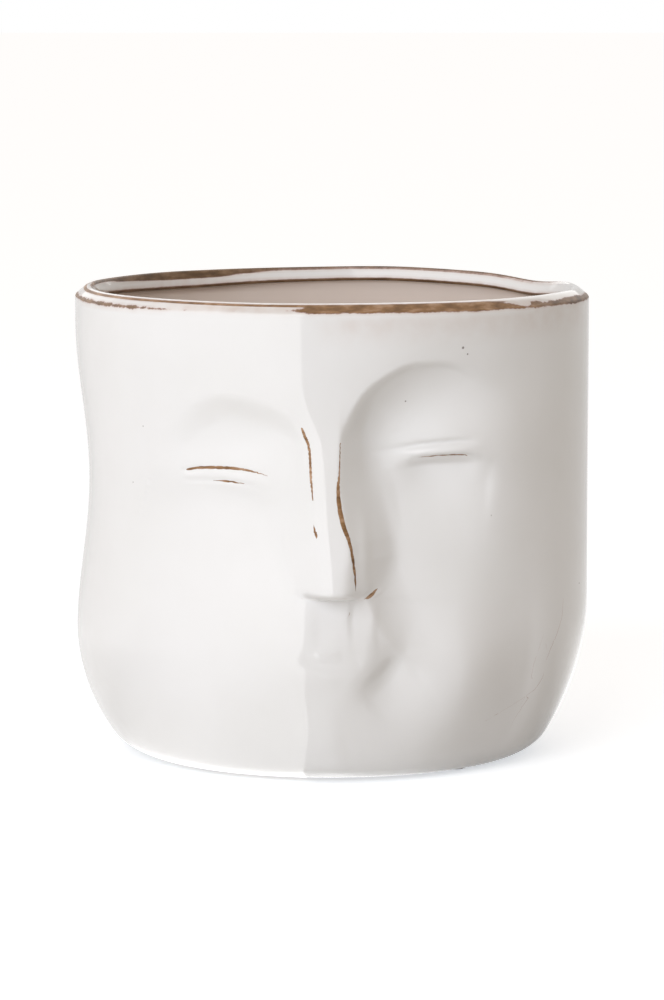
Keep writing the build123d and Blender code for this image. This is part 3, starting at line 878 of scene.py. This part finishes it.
# %% Felt
TUFT = 0.3846  # mm
NAP_STRENGTH, NAP_METRES = 0.6, 0.0002
felt, tree = new_material("undyed_pressed_felt")
place = add(tree, "TexCoord", out="Object")
tufts = {"Vector": place, "Scale": PER_METRE / TUFT, "Detail": 4.0, "Roughness": 0.65}
fibre = add(tree, "TexNoise", tufts)
felt_colour = add(tree, "ValToRGB", {0: fibre}, ((0.3, "#A2978A"), (0.7, "#C2B8AB")))
nap = add(tree, "Bump", {"Height": fibre, "Strength": NAP_STRENGTH, "Distance": NAP_METRES})
surface = {"Base Color": felt_colour, "Normal": nap, "Roughness": 0.95, "Sheen Weight": 0.3}
shader = add(tree, "BsdfPrincipled", surface)
add(tree, "OutputMaterial", {0: shader})
print(felt.name, "has", len(tree.nodes), "nodes")

# %% [markdown]
# Each disc takes its place and its size from the box of the CAD pad that it stands in for.

# %% Felt pads
PAD_PROFILE = (  # shares of the pad's half width and of its height
    (0.55, 0.0), (0.9, 0.02), (0.97, 0.12), (1.0, 0.35), (0.995, 0.65), (0.97, 0.9), (0.93, 1.0), (0.5, 1.0),
)
PAD_SIDES = 48
turn = np.linspace(0, 2 * math.pi, PAD_SIDES, endpoint=False)
for name in sorted(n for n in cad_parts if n.startswith("felt_pad")):
    low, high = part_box(name)
    centre, half, tall = (low + high) / 2, (high.x - low.x) / 2, high.z - low.z
    fuzz = 1 + 0.012 * np.sin(5 * turn + centre.x * 90) + 0.008 * np.sin(13 * turn + centre.y * 70)
    fuzz /= fuzz.max()
    verts = [
        (centre.x + r * half * f * math.cos(t), centre.y + r * half * f * math.sin(t), low.z + h * tall)
        for r, h in PAD_PROFILE
        for t, f in zip(turn, fuzz)
    ]
    verts += [(centre.x, centre.y, low.z), (centre.x, centre.y, high.z)]
    pad_mesh = bpy.data.meshes.new("felt_disc" + name[-2:])
    pad_mesh.from_pydata(verts, [], grid_faces(len(PAD_PROFILE), PAD_SIDES))
    pad_mesh.polygons.foreach_set("use_smooth", [True] * len(pad_mesh.polygons))
    pad_mesh.materials.append(felt)
    pad = bpy.data.objects.new("felt_disc" + name[-2:], pad_mesh)
    link(pad)
    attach(pad, "root")
    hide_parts(name)
    print(pad.name, "is", round(2000 * half, 1), "mm across and", round(1000 * tall, 1), "mm thick")

# %% [markdown]
# The studio: a pale paper floor and an even fill that is slightly warm and stronger from above. The
# background is white to the camera, to reflections and through glass only, so it adds no light of its own.

# %% Floor and world
def stage_object(name, verts, faces, material):
    stage_mesh = bpy.data.meshes.new(name)
    stage_mesh.from_pydata(verts, [], faces)
    stage_mesh.materials.append(material)
    thing = bpy.data.objects.new(name, stage_mesh)
    link(thing)
    return thing


def rays_that_see(tree):
    """1 for rays from the camera, a mirror or glass, 0 for the light that falls on things."""
    path = add(tree, "LightPath").node.outputs
    direct = add(tree, "Math", {0: path["Is Camera Ray"], 1: path["Is Glossy Ray"]}, operation="MAXIMUM")
    return add(tree, "Math", {0: direct, 1: path["Is Transmission Ray"]}, operation="MAXIMUM")


PAPER_LIFT, PAPER_LIFT_TINT = 0.62, (0.93, 0.97, 1.02, 1)  # how much brighter the paper looks than it lights
paper, tree = new_material("matt_white_paper")
seen = rays_that_see(tree)
diffuse = add(tree, "BsdfDiffuse", {0: linear("#DEDDDB")})
lift_amount = add(tree, "Math", {0: seen, 1: PAPER_LIFT}, operation="MULTIPLY")
lifted = add(tree, "Emission", {"Color": PAPER_LIFT_TINT, "Strength": lift_amount})
both = add(tree, "AddShader", {0: diffuse, 1: lifted})
add(tree, "OutputMaterial", {0: both})
stage_object("floor", [(-9, -6, 0), (9, -6, 0), (9, 14, 0), (-9, 14, 0)], [(0, 1, 2, 3)], paper)

FILL_LEVEL, FILL_TOP = 0.35, 0.8  # the room's light from the side and from straight above
FILL_TINT, WHITE = (1.01, 0.91, 0.81, 1), (1, 1, 1, 1)
world = bpy.data.worlds.new("studio")
bpy.context.scene.world = world
world.use_nodes = True
world.node_tree.nodes.clear()
tree = world.node_tree
seen = rays_that_see(tree)
direction = add(tree, "TexCoord", out="Generated")
up = add(tree, "SeparateXYZ", {0: direction}, out=2)
up_squared = add(tree, "Math", {0: up, 1: up}, operation="MULTIPLY")
room = add(tree, "MapRange", {"Value": up_squared, "To Min": FILL_LEVEL, "To Max": FILL_TOP})
strength = add(tree, "MapRange", {"Value": seen, "To Min": room, "To Max": 1.0})
tint = add(tree, "Mix", {"Factor": seen, 6: FILL_TINT, 7: WHITE}, out=2, data_type="RGBA")
background = add(tree, "Background", {"Color": tint, "Strength": strength})
add(tree, "OutputWorld", {0: background})
print("fill from the side and from above:", FILL_LEVEL, FILL_TOP)

# %% [markdown]
# The key is one big soft lamp, in front and to the left, a little above the pot. Its energy is worked out
# from its radiance and its size.

# %% Key lamp
KEY_SIZE, KEY_DISTANCE, KEY_AIM = 1.4, 2.0, 0.08  # metres; the lamp looks at this height
KEY_AZIMUTH, KEY_ELEVATION = math.radians(-25), math.radians(22)
KEY_RADIANCE, KEY_TINT = 3.6, (0.945, 1.0, 1.09)
lamp = bpy.data.lights.new("key", "AREA")
lamp.shape = "SQUARE"
lamp.size = KEY_SIZE
lamp.color = KEY_TINT
lamp.energy = KEY_RADIANCE * math.pi * KEY_SIZE**2
key = bpy.data.objects.new("key", lamp)
level = KEY_DISTANCE * math.cos(KEY_ELEVATION)
height = KEY_DISTANCE * math.sin(KEY_ELEVATION) + KEY_AIM
key.location = (level * math.sin(KEY_AZIMUTH), -level * math.cos(KEY_AZIMUTH), height)
key.rotation_euler = (math.pi / 2 - KEY_ELEVATION, 0, KEY_AZIMUTH)
key.visible_camera = False
key.visible_glossy = False
link(key)
print("key lamp, W:", round(lamp.energy, 1))

# %% [markdown]
# A glossy white pot shows what stands round it. The crisp tone border down the middle of the face is the edge
# of a big white sheet on the left, hung up and rolled out over the floor. Grey cards close the circle on the
# right and behind, which keeps the pot's own edges from burning out. Each is a sector of a ring with its own
# light at each angle, on the wall and on the floor. Only reflections see them.

# %% The sheet and cards that the glaze mirrors
SHEET_EDGE = -13.0  # degrees from the viewer
SHEET_LIGHT = ((-172, 0.85), (-152, 1), (-130, 1.6), (-106, 2.3), (-86, 2.5), (-60, 2.7), (SHEET_EDGE, 2.7))
SHEET_FLOOR = ((-172, 0.6), (-130, 0.6), (-105, 0.7), (-85, 0.9), (-68, 1.9), (-45, 3.2), (SHEET_EDGE, 3.4))
CARD_LIGHT = (
    (SHEET_EDGE, 1), (10, 1), (40, 0.85), (80, 0.68), (105, 0.7), (130, 0.85), (145, 0.85), (170, 0.8),
    (188, 0.72),
)
CARD_FLOOR = (  # the pot's shadow darkens the floor on the right
    (SHEET_EDGE, 1.75), (8, 1.65), (40, 0.62), (75, 0.4), (95, 0.6), (120, 1.3), (145, 1.8), (170, 1.3),
    (188, 0.8),
)
RING_PROFILE = (  # radius and height in metres, outwards over the floor and up the wall
    (0.03, 0.0005), (0.12, 0.001), (0.3, 0.002), (0.6, 0.002), (1.25, 0.002), (1.4, 0.04), (1.45, 0.2),
    (1.45, 3.2),
)
EDGE_SHIFT = (9.0, 4.0, 1.5, 0.5, 0.0, 0.0, 0.0, 0.0)  # on the floor the sheet's edge runs past the foot
SHEET_RISE = (0.0, 0.4, 0.85, 0.95, 1.0, 1.0, 1.0, 1.0)  # from the floor's light to the wall's
CARD_RISE = (0.0, 0.1, 0.75, 0.95, 1.0, 1.0, 1.0, 1.0)
SECTOR_TURNS = 48
lit_card, tree = new_material("lit_card")
card_light = add(tree, "Attribute", out="Fac", attribute_name="light")
glow = add(tree, "Emission", {"Strength": card_light})
add(tree, "OutputMaterial", {0: glow})


def mirrored_card(name, verts, width, light):
    """A card of rows of points, width points to a row, with a light at each, that only reflections see."""
    rows = len(verts) // width
    corners = [i * width + j for i in range(rows - 1) for j in range(width - 1)]
    faces = [(c, c + 1, c + width + 1, c + width) for c in corners]
    card = stage_object(name, verts, faces, lit_card)
    layer = card.data.attributes.new("light", "FLOAT", "POINT")
    layer.data.foreach_set("value", np.ravel(light).astype(np.float32))
    card.visible_camera = card.visible_diffuse = card.visible_shadow = card.visible_transmission = False
    print(card.name, "has", len(faces), "faces")


def ring_sector(name, wall_table, floor_table, rise):
    start, end = wall_table[0][0], wall_table[-1][0]
    turns = np.linspace(start, end, SECTOR_TURNS)
    shift = 1 - np.abs(turns - SHEET_EDGE) / (end - start)
    verts = []
    for turn, share in zip(turns, shift):
        for (r, z), edge in zip(RING_PROFILE, EDGE_SHIFT):
            a = math.radians(turn + edge * share)
            verts.append((r * math.sin(a), MM * AXIS_Y - r * math.cos(a), z))
    rise = np.array(rise)
    light = np.outer(np.interp(turns, *zip(*floor_table)), 1 - rise)
    light += np.outer(np.interp(turns, *zip(*wall_table)), rise)
    mirrored_card(name, verts, len(RING_PROFILE), light)


ring_sector("white_sheet", SHEET_LIGHT, SHEET_FLOOR, SHEET_RISE)
ring_sector("grey_cards", CARD_LIGHT, CARD_FLOOR, CARD_RISE)

# %% [markdown]
# One more card stands high behind the pot, where only the front of the lip mirrors it.

# %% The card behind
BACK_LIGHT, BACK_RADIUS = 1.7, 1.4
BACK_HEIGHTS = (0.42, 2.6)
turns = np.radians(np.linspace(145, 215, 24))
verts = [(BACK_RADIUS * math.sin(a), -BACK_RADIUS * math.cos(a), z) for a in turns for z in BACK_HEIGHTS]
mirrored_card("back_card", verts, len(BACK_HEIGHTS), [BACK_LIGHT] * len(verts))

# %% [markdown]
# The photograph's view is that of a long lens from about 1.6 m, a little above the rim: some 160 mm on a
# sensor 36 mm tall.

# %% Camera
CAMERA_PLACE, CAMERA_TILT = (0.0, -1.595, 0.2877), 7.036  # metres, degrees down
SENSOR_HEIGHT, LENS = 36.0, 160.65
camera = bpy.data.cameras.new("camera")
camera.sensor_fit = "VERTICAL"
camera.sensor_height = SENSOR_HEIGHT
camera.lens = LENS
eye = bpy.data.objects.new("camera", camera)
eye.location = CAMERA_PLACE
eye.rotation_euler = (math.radians(90 - CAMERA_TILT), 0, 0)
link(eye)
bpy.context.scene.camera = eye
bpy.context.scene.view_settings.view_transform = "Standard"
print("camera angle, degrees:", round(math.degrees(camera.angle), 2))
